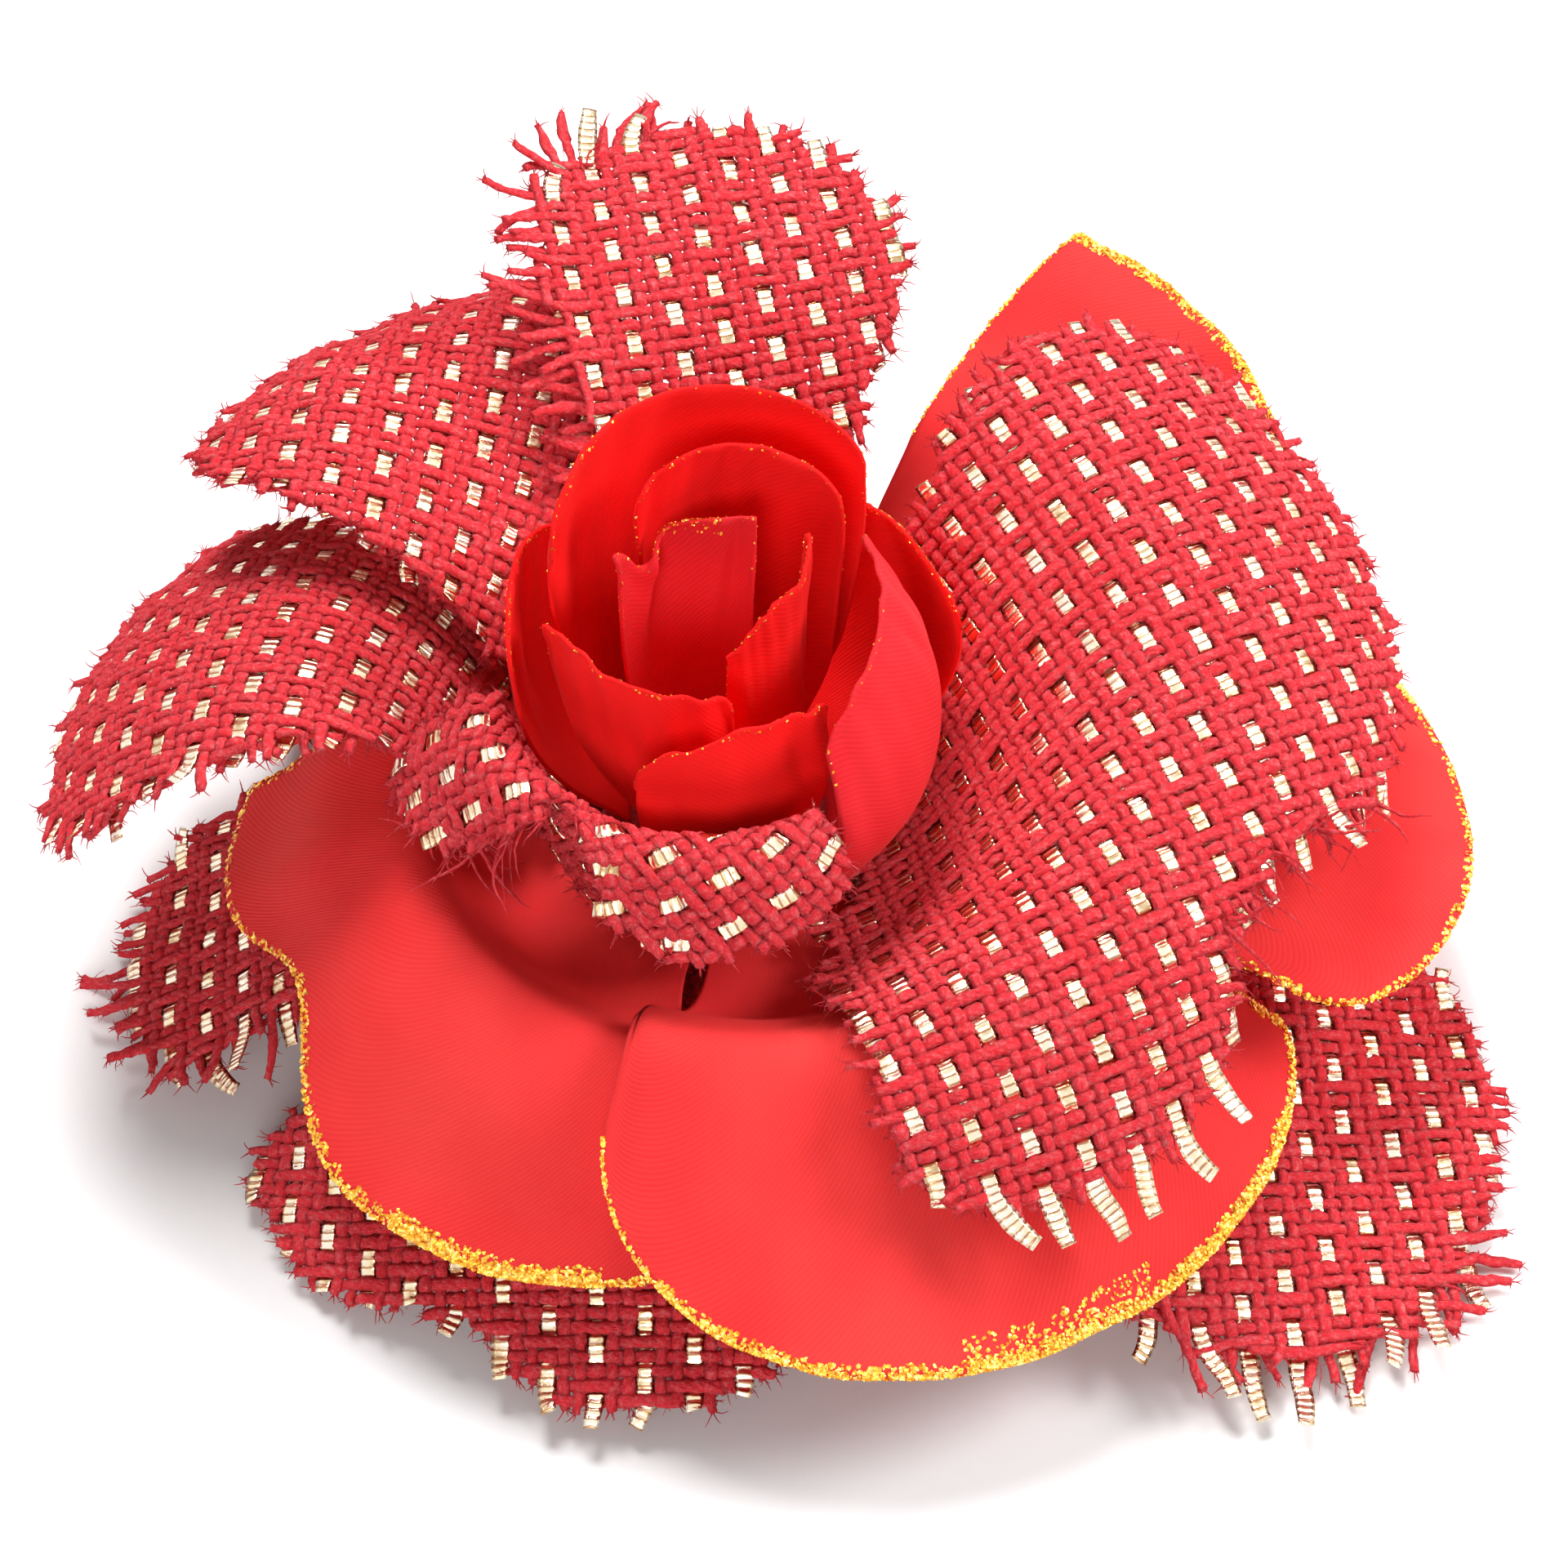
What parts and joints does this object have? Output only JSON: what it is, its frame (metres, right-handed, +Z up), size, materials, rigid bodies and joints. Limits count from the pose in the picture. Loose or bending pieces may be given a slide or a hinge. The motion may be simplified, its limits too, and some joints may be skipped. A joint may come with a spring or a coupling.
{
  "type": "flower hair clip",
  "caption": "Fabric rose of woven and satin petals round a satin bud, glued on a sprung steel alligator clip that grips a lock of hair.",
  "frame": {"origin": "centre of the bounding box on the table under the rose", "axes": "+Z up along the rose's axis, +X along the clip from its tip to its finger levers, +Y away from the viewer"},
  "size_m": [0.1088, 0.0954, 0.0532],
  "materials": {
    "nickel_steel": "nickel plated",
    "spring_steel": "drawn wire",
    "hot_glue": "set hot glue",
    "red_felt": "felt",
    "red_burlap": "open plain weave with gold metallised yarns and frayed edges",
    "coral_satin": "satin with a gold glitter edge",
    "scarlet_satin": "satin with gold specks"
  },
  "bodies": {
    "rose": {"clip_top_arm": "nickel_steel", "hinge_pin": "nickel_steel", "torsion_spring": "spring_steel", "clip_glue": "hot_glue", "felt_backing": "red_felt", "base_disc": "red_felt", "ring_disc": "red_felt", "crown_disc": "red_felt", "lower_burlap_petal_1": "red_burlap", "lower_burlap_petal_2": "red_burlap", "lower_burlap_petal_3": "red_burlap", "lower_burlap_petal_4": "red_burlap", "lower_burlap_petal_5": "red_burlap", "lower_burlap_petal_6": "red_burlap", "satin_petal_1": "coral_satin", "satin_petal_2": "coral_satin", "satin_petal_3": "coral_satin", "satin_petal_4": "coral_satin", "satin_petal_5": "coral_satin", "upper_burlap_petal_1": "red_burlap", "upper_burlap_petal_2": "red_burlap", "upper_burlap_petal_3": "red_burlap", "upper_burlap_petal_4": "red_burlap", "upper_burlap_petal_5": "red_burlap", "bud_petal_1": "scarlet_satin", "bud_petal_2": "scarlet_satin", "bud_petal_3": "scarlet_satin", "bud_petal_4": "scarlet_satin", "bud_petal_5": "scarlet_satin", "bud_petal_6": "scarlet_satin", "bud_petal_7": "scarlet_satin", "bud_petal_8": "scarlet_satin", "bud_petal_9": "scarlet_satin", "bud_core": "scarlet_satin"},
    "jaw": {"clip_jaw": "nickel_steel"}
  },
  "joints": [
    {"name": "jaw_hinge", "type": "hinge", "parent": "rose", "child": "jaw", "pos_m": [0.00851, -0.00437, 0.00782], "axis": [0, -1, 0], "range_deg": [0, 30], "stiffness_Nm_per_rad": 0.12, "springref_deg": -34.38, "deforming": ["torsion_spring"]}
  ]
}
